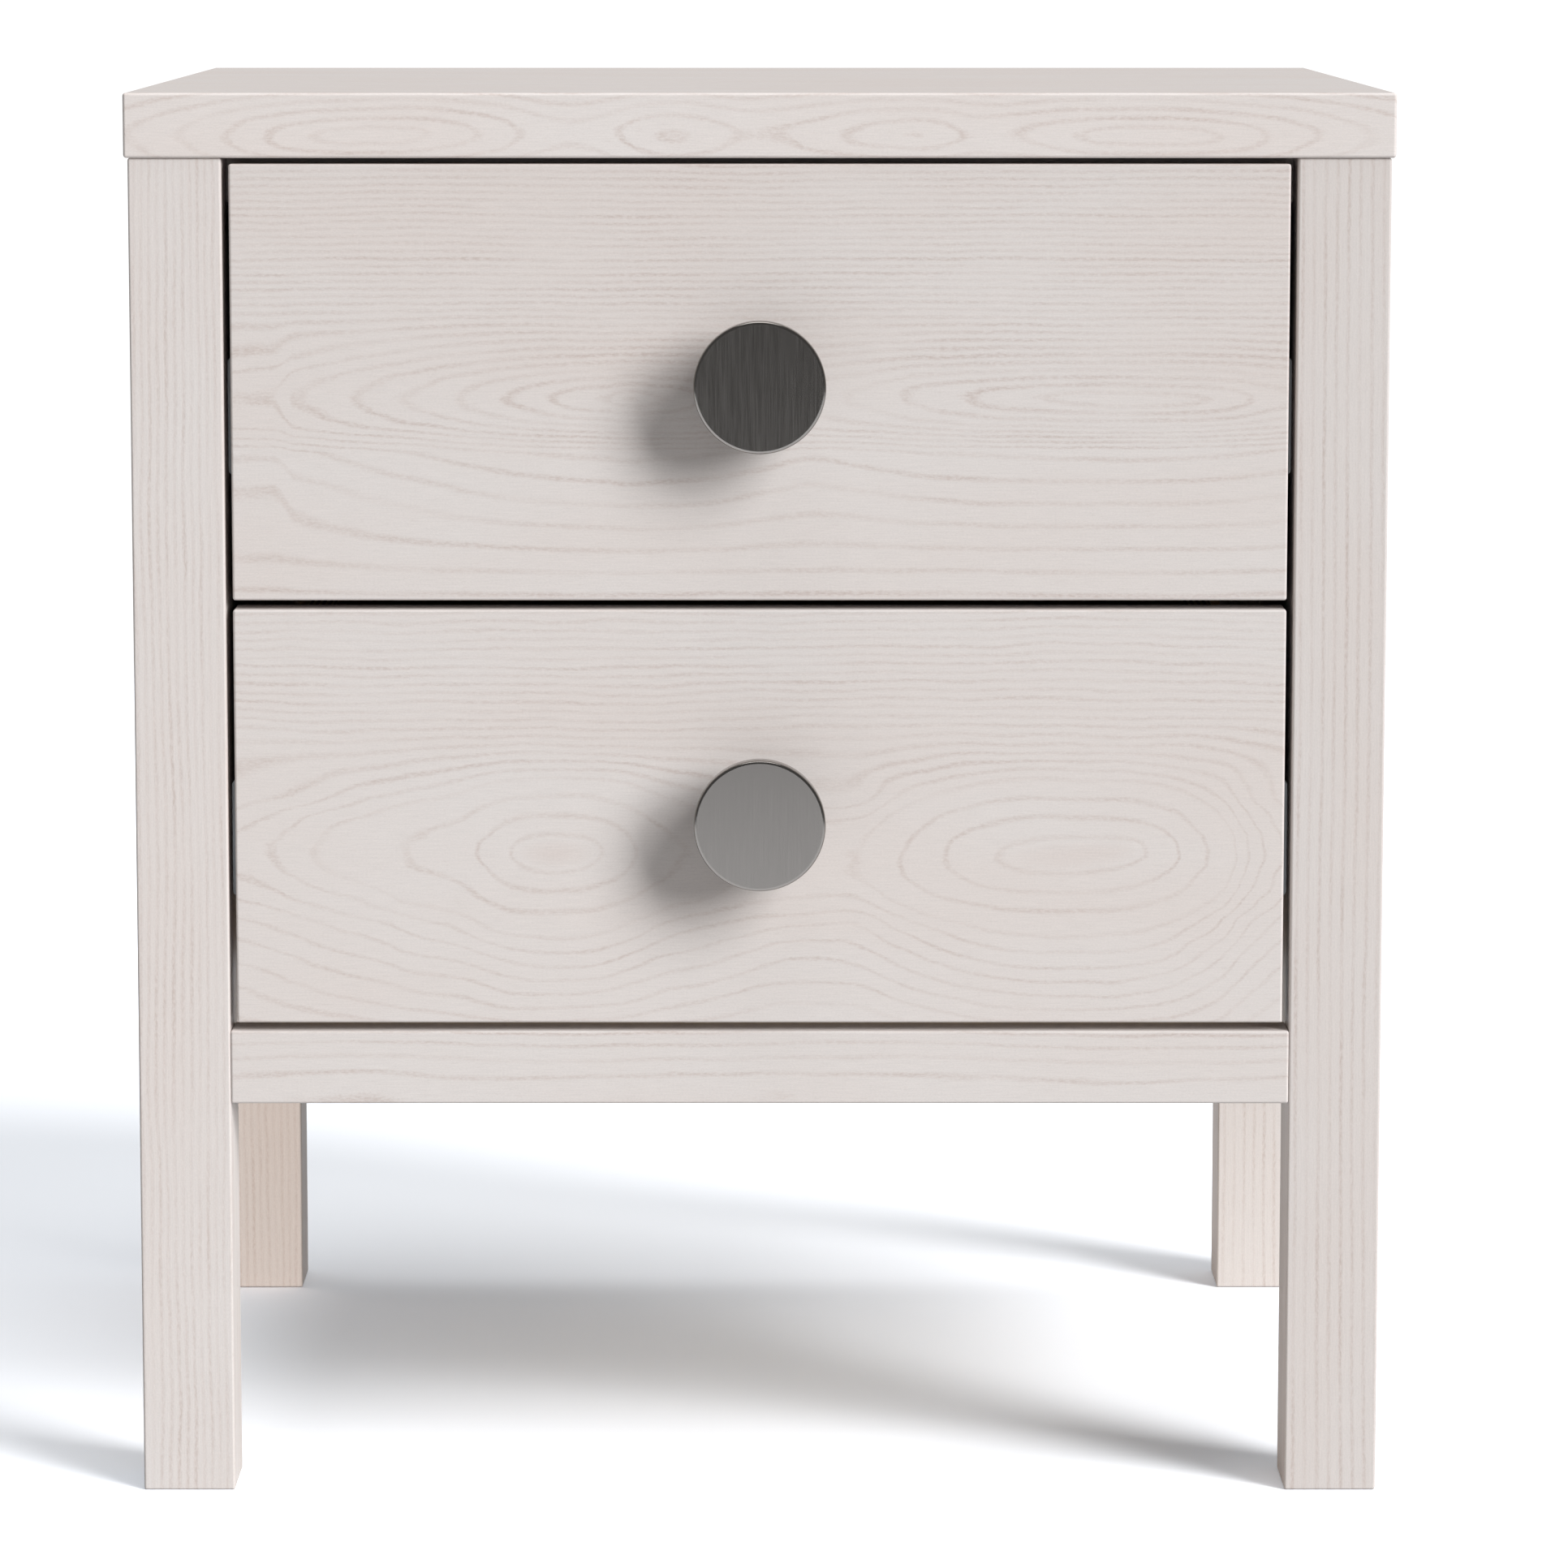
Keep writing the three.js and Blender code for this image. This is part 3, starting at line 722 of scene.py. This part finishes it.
# pan-head screws that point towards -Y; the underside of the head is at y = 0 until a copy is put in its hole
screwShape = {
    "sides": 32,
    "tip": 0.3, "point": 3.0,              # the radius of the blunt tip, and how long the point is
    "shank": 4.0, "plain": 4.0,            # the last part of the shank, under the head, has no thread
    "thread": 1.4, "threadDeep": 0.35,
    "threadRise": 0.35, "threadCrest": 0.65,  # where a turn begins to rise and where it is highest
    "runOut": 0.3,
    "head": 8.0, "rim": 0.9, "headHeight": 2.4,
    "dome": ((0.8, 0.82), (1.0, 0.45)),    # shares of the head's height and radius
    "recess": 4.2, "recessWide": 1.0, "recessDeep": 1.6,
}


def makeScrew(name, length):
    shape = screwShape
    shank, head = shape["shank"] / 2, shape["head"] / 2
    core = shank - shape["threadDeep"]
    bpy.ops.mesh.primitive_circle_add(vertices=shape["sides"], radius=shape["tip"] * mm, fill_type="NGON",
                                      location=(0, -length * mm, 0), rotation=(-math.pi / 2, 0, 0))
    screw = settleNew(name)
    # each stop is how far the section has come and its radius: point, thread, plain shank, head
    stops = [(-length + shape["point"], core)]
    turns = int((length - shape["point"] - shape["plain"]) / shape["thread"])
    for turn in range(turns):
        start = -length + shape["point"] + turn * shape["thread"]
        stops += [(start + shape["thread"] * shape["threadRise"], core),
                  (start + shape["thread"] * shape["threadCrest"], shank), (start + shape["thread"], core)]
    stops += [(stops[-1][0] + shape["runOut"], shank), (0, shank), (0, head), (shape["rim"], head)]
    stops += [(shape["headHeight"] * high, head * wide) for high, wide in shape["dome"]]
    bpy.ops.object.mode_set(mode="EDIT")
    bpy.ops.mesh.select_all(action="SELECT")
    y, radius = -length, shape["tip"]
    for stop, wide in stops:
        bpy.ops.mesh.extrude_region_move(TRANSFORM_OT_translate={"value": (0, (stop - y) * mm, 0)})
        bpy.ops.transform.resize(value=(wide / radius, 1, wide / radius), center_override=(0, stop * mm, 0))
        y, radius = stop, wide
    bpy.ops.object.mode_set(mode="OBJECT")
    faceOutwards(screw)
    half, wide = shape["recess"] / 2 * mm, shape["recessWide"] / 2 * mm
    low, high = (shape["headHeight"] - shape["recessDeep"]) * mm, (shape["headHeight"] + 1) * mm
    for across, up in ((half, wide), (wide, half)):
        cutPocket(screw, (-across, low, -up), (across, high, up))
    smoothByAngle(screw, 40)
    return screw


screwNodes = {}
for drawer in ("upper", "lower"):
    for node in screwsOf(drawer):
        low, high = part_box(node)
        length = round((high.y - low.y) / mm - screwShape["headHeight"], 2)
        screwNodes.setdefault(length, []).append((node, drawer))
for length, places in screwNodes.items():
    pattern = makeScrew("screw_pattern", length)
    for node, drawer in places:
        low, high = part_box(node)
        underHead = high.y - screwShape["headHeight"] * mm
        screw = copyOf(pattern, f"zinc_{node}", ((low.x + high.x) / 2, underHead, (low.z + high.z) / 2))
        fitHardware(screw, f"{drawer}_drawer", node)
    bpy.data.objects.remove(pattern)
print("screws driven")


# Pressed steel: a flat strip whose long edges are folded up, then given its thickness and its holes.
# towards is the side that the flanges point to, 1 for +X and -1 for -X.

def foldStrip(name, x, towards, y, z, reach, lip, shape):
    bpy.ops.mesh.primitive_plane_add(size=1, location=(x, (y[0] + y[1]) / 2, (z[0] + z[1]) / 2),
                                     rotation=(0, math.pi / 2, 0))
    bpy.context.object.scale = (z[1] - z[0], y[1] - y[0], 1)
    strip = settleNew(name)
    bpy.ops.object.mode_set(mode="EDIT")

    def pickLong(wanted):
        # the edges along the strip that have both ends where they are wanted
        pick(strip, "EDGE", lambda edge: abs(edge.verts[0].co.y - edge.verts[1].co.y) > mm
             and all(wanted(corner.co) for corner in edge.verts))

    for edgeZ, inward in ((z[0], 1), (z[1], -1)):
        if not reach.get(inward):
            continue
        pickLong(lambda end: abs(end.z - edgeZ) < near and abs(end.x - x) < near)
        bpy.ops.mesh.extrude_edges_move(TRANSFORM_OT_translate={"value": (towards * reach[inward], 0, 0)})
        if lip:
            bpy.ops.mesh.extrude_edges_move(TRANSFORM_OT_translate={"value": (0, 0, inward * lip)})
    tip = x + towards * max(reach.values())
    pickLong(lambda end: min(abs(end.z - z[0]), abs(end.z - z[1])) < near
             and (abs(end.x - x) < near or (lip and abs(end.x - tip) < near)))
    bpy.ops.mesh.bevel(offset=shape["bend"] * mm, segments=shape["bendSteps"], profile=0.5, affect="EDGES")
    bpy.ops.object.mode_set(mode="OBJECT")
    faceOutwards(strip)
    # the wall grows towards the inside of the fold, so the outside keeps its size
    flat = max(strip.data.polygons, key=lambda face: face.area)
    outside = flat.normal.x * towards
    wall = strip.modifiers.new("wall", "SOLIDIFY")
    wall.thickness = shape["steel"] * mm
    wall.offset = 1.0 if outside > 0 else -1.0
    applyModifiers(strip)
    faceOutwards(strip)
    return strip


def drillAlongX(piece, x, y, z, radius, deep=6.0, long=0.0):
    # a round hole, or an oblong one where long is how much longer than wide it is
    bpy.ops.mesh.primitive_cylinder_add(vertices=24, radius=radius, depth=deep * mm, location=(x, y, z),
                                        rotation=(0, math.pi / 2, 0))
    drill = settleNew("drill")
    if long:
        bpy.ops.object.mode_set(mode="EDIT")
        pick(drill, "VERT", lambda corner: corner.co.y > y + near)
        bpy.ops.transform.translate(value=(0, long * mm, 0))
        bpy.ops.object.mode_set(mode="OBJECT")
    cutAway(piece, drill)


# Ball-bearing slides, three nested members a side, with flush screws, and balls in their cages
slideShape = {
    "steel": 1.2, "bend": 1.6, "bendSteps": 4, "lip": 2.2,
    "screwPlaces": [35, 131, 291],       # from the slide's front end
    "slotPlaces": [64, 163, 226, 259],
    "hole": 2.1, "slot": 6.0,            # the radius of a slot, and how much longer than wide it is
    "accessHole": 4.6,                   # in the middle member, to reach the screws behind it
    "cage": 0.5, "cageHalf": 1.4, "cageLong": 150,
    "cageStart": {"cabinet": 190.0, "middle": 9.0},
    "ball": 1.35, "ballSegments": 14, "ballRings": 8,
    "firstBall": 12.0, "ballStep": 9.0, "ballCount": 14,
    "raceMiddle": 4.8,                   # from the web of the outer member to the middle of the balls
}
memberSides = {"cabinet": 1, "middle": 1, "drawer": -1}   # on the left, which way the flanges point
flushScrew = {"head": 3.4, "high": 0.5, "edge": 0.25, "shank": 10.0, "tipShare": 0.25, "recess": 1.7,
              "recessWide": 0.4}


def makeMember(node, member):
    low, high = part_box(node)
    towards = memberSides[member]
    web = low.x if towards > 0 else high.x
    strip = foldStrip(f"zinc_{node}", web, towards, (low.y, high.y), (low.z, high.z),
                      {1: high.x - low.x, -1: high.x - low.x}, slideShape["lip"] * mm, slideShape)
    middle = (low.z + high.z) / 2
    for place in slideShape["slotPlaces"]:
        drillAlongX(strip, web, low.y + place * mm, middle, slideShape["hole"] * mm, long=slideShape["slot"])
    if member == "middle":
        for place in slideShape["screwPlaces"]:
            drillAlongX(strip, web, low.y + place * mm, middle, slideShape["accessHole"] * mm)
    smoothByAngle(strip, 40)
    return strip


def makeFlushScrew(name, x, y, z, towards):
    # the low flat head of a wood screw, with a cross recess, on a plain tapered shank
    shank, high, narrow = flushScrew["shank"], flushScrew["high"], flushScrew["tipShare"]
    bpy.ops.mesh.primitive_cylinder_add(vertices=28, radius=flushScrew["head"] * mm,
                                        depth=(high + shank) * mm,
                                        location=(x - towards * (shank - high) / 2 * mm, y, z),
                                        rotation=(0, math.pi / 2, 0))
    screw = settleNew(name)
    top = x + towards * high * mm
    bpy.ops.object.mode_set(mode="EDIT")
    pick(screw, "FACE", lambda face: face.normal.x * towards < -0.99)
    bpy.ops.transform.resize(value=(1, narrow, narrow), center_override=(x, y, z))
    pick(screw, "EDGE", lambda edge: all(abs(corner.co.x - top) < near for corner in edge.verts))
    bpy.ops.mesh.bevel(offset=flushScrew["edge"] * mm, segments=2, profile=0.5, affect="EDGES")
    bpy.ops.object.mode_set(mode="OBJECT")
    long, wide = flushScrew["recess"] * mm, flushScrew["recessWide"] * mm
    for across, up in ((long, wide), (wide, long)):
        cutPocket(screw, (top - mm, y - across, z - up), (top + mm, y + across, z + up))
    smoothByAngle(screw, 40)
    return screw


def makeCage(name, drawer):
    # a thin strip with a row of balls through it, in each of the four races of one slide
    shape = slideShape
    boxes = {member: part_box(f"{drawer}_left_{member}_slide") for member in memberSides}
    wall = shape["steel"] * mm
    rows = []
    for outer, inner in (("cabinet", "middle"), ("middle", "drawer")):
        outerTop, innerTop = boxes[outer][1].z - wall, boxes[inner][1].z
        outerLow, innerLow = boxes[outer][0].z + wall, boxes[inner][0].z
        rows += [((outerTop + innerTop) / 2, outer), ((outerLow + innerLow) / 2, outer)]
    parts = []
    for z, outer in rows:
        x = boxes[outer][0].x + shape["raceMiddle"] * mm
        start = boxes[outer][0].y + shape["cageStart"][outer] * mm
        half, thin = shape["cageHalf"] * mm, shape["cage"] / 2 * mm
        parts.append(sawnBlock("cage", (x - half, start, z - thin),
                               (x + half, start + shape["cageLong"] * mm, z + thin)))
        for ball in range(shape["ballCount"]):
            y = start + (shape["firstBall"] + ball * shape["ballStep"]) * mm
            bpy.ops.mesh.primitive_uv_sphere_add(segments=shape["ballSegments"], radius=shape["ball"] * mm,
                                                 ring_count=shape["ballRings"], location=(x, y, z))
            parts.append(bpy.context.object)
    cage = joined(name, parts)
    smoothByAngle(cage, 40)
    return cage


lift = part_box("upper_left_cabinet_slide")[0].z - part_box("lower_left_cabinet_slide")[0].z
for member, towards in memberSides.items():
    body = {"cabinet": ("case", "case"), "middle": ("upper_middle_slides", "lower_middle_slides"),
            "drawer": ("upper_drawer", "lower_drawer")}[member]
    pattern = makeMember(f"upper_left_{member}_slide", member)
    low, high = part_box(f"upper_left_{member}_slide")
    screws = []
    if member != "middle":
        face = (low.x if towards > 0 else high.x) + towards * slideShape["steel"] * mm
        for place in slideShape["screwPlaces"]:
            screws.append(makeFlushScrew("screw", face, low.y + place * mm, (low.z + high.z) / 2, towards))
        screws = [joined("screws", screws)]
    extra = screws or [makeCage("cage", "upper")]
    label = "slide_screws" if screws else "ball_cages"
    for drawer, drop, rides in (("upper", 0, body[0]), ("lower", -lift, body[1])):
        for hand, mirrored in (("left", False), ("right", True)):
            node = f"{drawer}_{hand}_{member}_slide"
            fitHardware(copyOf(pattern, f"zinc_rolled_{node}", (0, 0, drop), mirrored), rides, node)
            fitHardware(copyOf(extra[0], f"zinc_{drawer}_{hand}_{member}_{label}", (0, 0, drop), mirrored),
                        rides)
    bpy.data.objects.remove(pattern)
    bpy.data.objects.remove(extra[0])
print("slides rolled")


# Angle brackets under the top board: folded from strip, with one screw into the side
bracketShape = {"steel": 1.5, "bend": 1.8, "bendSteps": 4, "round": 4.0, "roundSteps": 5, "screwUp": 7.0}


def makeBracket(name, node):
    low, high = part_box(node)
    strip = foldStrip(name, low.x, 1, (low.y, high.y), (low.z, high.z), {-1: high.x - low.x}, 0,
                      bracketShape)

    def atCorner(edge):
        # through the steel, at the corners of the tip of either leg
        one, other = (corner.co for corner in edge.verts)
        short = edge.calc_length() < (bracketShape["steel"] + 0.1) * mm
        atEnd = min(one.y - low.y, high.y - one.y) < near
        atTip = (one.z - low.z < near and abs(one.x - other.x) > mm
                 or high.x - one.x < near and abs(one.z - other.z) > mm)
        return short and atEnd and atTip

    bpy.ops.object.mode_set(mode="EDIT")
    pick(strip, "EDGE", atCorner)
    bpy.ops.mesh.bevel(offset=bracketShape["round"] * mm, segments=bracketShape["roundSteps"], profile=0.5,
                       affect="EDGES")
    bpy.ops.object.mode_set(mode="OBJECT")
    smoothByAngle(strip, 40)
    screw = makeFlushScrew("screw", low.x + bracketShape["steel"] * mm, (low.y + high.y) / 2,
                           low.z + bracketShape["screwUp"] * mm, 1)
    return joined(name, [strip, screw])


first = makeBracket("bracket_pattern", "left_front_top_bracket")
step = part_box("left_rear_top_bracket")[0].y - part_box("left_front_top_bracket")[0].y
for end, back in (("front", 0), ("rear", step)):
    for hand, mirrored in (("left", False), ("right", True)):
        node = f"{hand}_{end}_top_bracket"
        fitHardware(copyOf(first, f"zinc_{node}", (0, back, 0), mirrored), "case", node)
bpy.data.objects.remove(first)
print("brackets folded")


# The studio: a white floor, white beyond it, a broad key light from the front right, and weak light
# elsewhere. A lamp's bearing, height and spread are in degrees, seen from the nightstand, where bearing 0 is
# straight in front. A lamp that isn't mirrored lights the wood but leaves no bright spot on the metal.

studio = {
    "floorRadius": 2.7,
    "floorColour": "#B4B4B4",  # what the floor throws back on the nightstand
    "burnt": "#F7FAFF",        # added where the floor is looked at or mirrored, so that it burns out to white
    "haze": 0.125,             # and the light that such a backdrop scatters into its own shadows
    "hazeColour": "#D6E8FF",
    "roomGlow": 0.17,          # the light from all round
    "backdropGlow": 1.1,       # and how bright the wall behind looks
    "lampDistance": 3.0,
    "suns": {
        "keyLow": {"bearing": 50, "height": 18, "spread": 24, "strength": 1.87, "mirrored": False},
        "keyHigh": {"bearing": 46, "height": 36, "spread": 24, "strength": 1.62, "mirrored": False},
        "top": {"bearing": 0, "height": 88, "spread": 40, "strength": 1.0},
    },
    "kickers": {               # weak warm light on the legs alone, as it comes back off pale flooring
        "rearLeft": {"bearing": -25, "height": 8, "spread": 40, "strength": 2.6, "tint": "#FFF3EA",
                     "lights": ("back_left_leg",)},
        "rearRight": {"bearing": -25, "height": 8, "spread": 40, "strength": 1.2, "tint": "#FFF6EE",
                      "lights": ("back_right_leg",)},
        "innerSides": {"bearing": -88, "height": 10, "spread": 40, "strength": 0.7, "tint": "#FFE9DA",
                       "lights": ("front_right_leg", "back_right_leg")},
    },
}


def hangLamp(name, lamp):
    light = bpy.data.lights.new(f"{name}_lamp", "SUN")
    light.energy, light.angle = lamp["strength"], math.radians(lamp["spread"])
    light.color = srgb(lamp.get("tint", "#FFFFFF"))[:3]
    bearing, height = math.radians(lamp["bearing"]), math.radians(lamp["height"])
    outward = Vector((math.sin(bearing) * math.cos(height), -math.cos(bearing) * math.cos(height),
                      math.sin(height)))
    hung = bpy.data.objects.new(f"{name}_lamp", light)
    hung.location = outward * studio["lampDistance"]
    hung.rotation_euler = (-outward).to_track_quat("-Z", "Y").to_euler()
    hung.visible_glossy = lamp.get("mirrored", True)
    bpy.context.scene.collection.objects.link(hung)
    return hung


def layFloor():
    bpy.ops.mesh.primitive_circle_add(vertices=64, radius=studio["floorRadius"], fill_type="NGON",
                                      location=(0, 0, 0))
    floor = bpy.context.object
    floor.name = "studio_floor"
    # Matt white paper, lit so strongly that its plain parts burn out to pure white
    material, tree, shader = newMaterial("matt white backdrop paper")
    setInputs(shader, {"Base Color": srgb(studio["floorColour"]), "Roughness": 1.0,
                       "Specular IOR Level": 0.0})
    burnt = addNode(tree, "BsdfDiffuse", {"Color": srgb(studio["burnt"])})
    haze = addNode(tree, "Emission", {"Color": srgb(studio["hazeColour"]), "Strength": studio["haze"]})
    hazy = addNode(tree, "AddShader", {0: burnt, 1: haze})
    both = addNode(tree, "AddShader", {0: shader, 1: hazy})
    bounced = addNode(tree, "LightPath").outputs["Is Diffuse Ray"]
    mixed = addNode(tree, "MixShader", {0: bounced, 1: both, 2: shader})
    setInputs(tree.nodes["Material Output"], {"Surface": mixed})
    putMaterial(floor, material)


def buildStudio():
    layFloor()
    for name, lamp in studio["suns"].items():
        hangLamp(name, lamp)
    for name, lamp in studio["kickers"].items():
        lit = bpy.data.collections.new(f"lit_by_{name}")
        for node in lamp["lights"]:
            lit.objects.link(bpy.data.objects[f"ash_{node}"])
        hangLamp(name, lamp).light_linking.receiver_collection = lit
    world = bpy.data.worlds.new("studio")
    bpy.context.scene.world = world
    world.use_nodes = True
    tree = world.node_tree
    seen = addNode(tree, "LightPath").outputs["Is Camera Ray"]
    glow = addNode(tree, "MapRange", {0: seen, 3: studio["roomGlow"], 4: studio["backdropGlow"]})
    setInputs(tree.nodes["Background"], {"Color": (1, 1, 1, 1), "Strength": glow})
    bpy.context.scene.view_settings.view_transform = "Standard"


cameraView = {
    "sensor": 36.0, "lens": 148.14,
    "back": 2.4935, "height": 0.6165,  # metres from the plane of the legs' fronts, and above the floor
    "pitch": 7.643,                    # degrees down
    "shiftX": 0.0155,
}


def placeCamera():
    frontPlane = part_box("front_left_leg")[0].y
    camera = bpy.data.objects.new("camera", bpy.data.cameras.new("camera"))
    camera.data.sensor_width = cameraView["sensor"]
    camera.data.lens = cameraView["lens"]
    camera.data.shift_x = cameraView["shiftX"]
    camera.location = (0, frontPlane - cameraView["back"], cameraView["height"])
    camera.rotation_euler = (math.radians(90 - cameraView["pitch"]), 0, 0)
    bpy.context.scene.collection.objects.link(camera)
    bpy.context.scene.camera = camera


buildStudio()
placeCamera()
print("studio set")
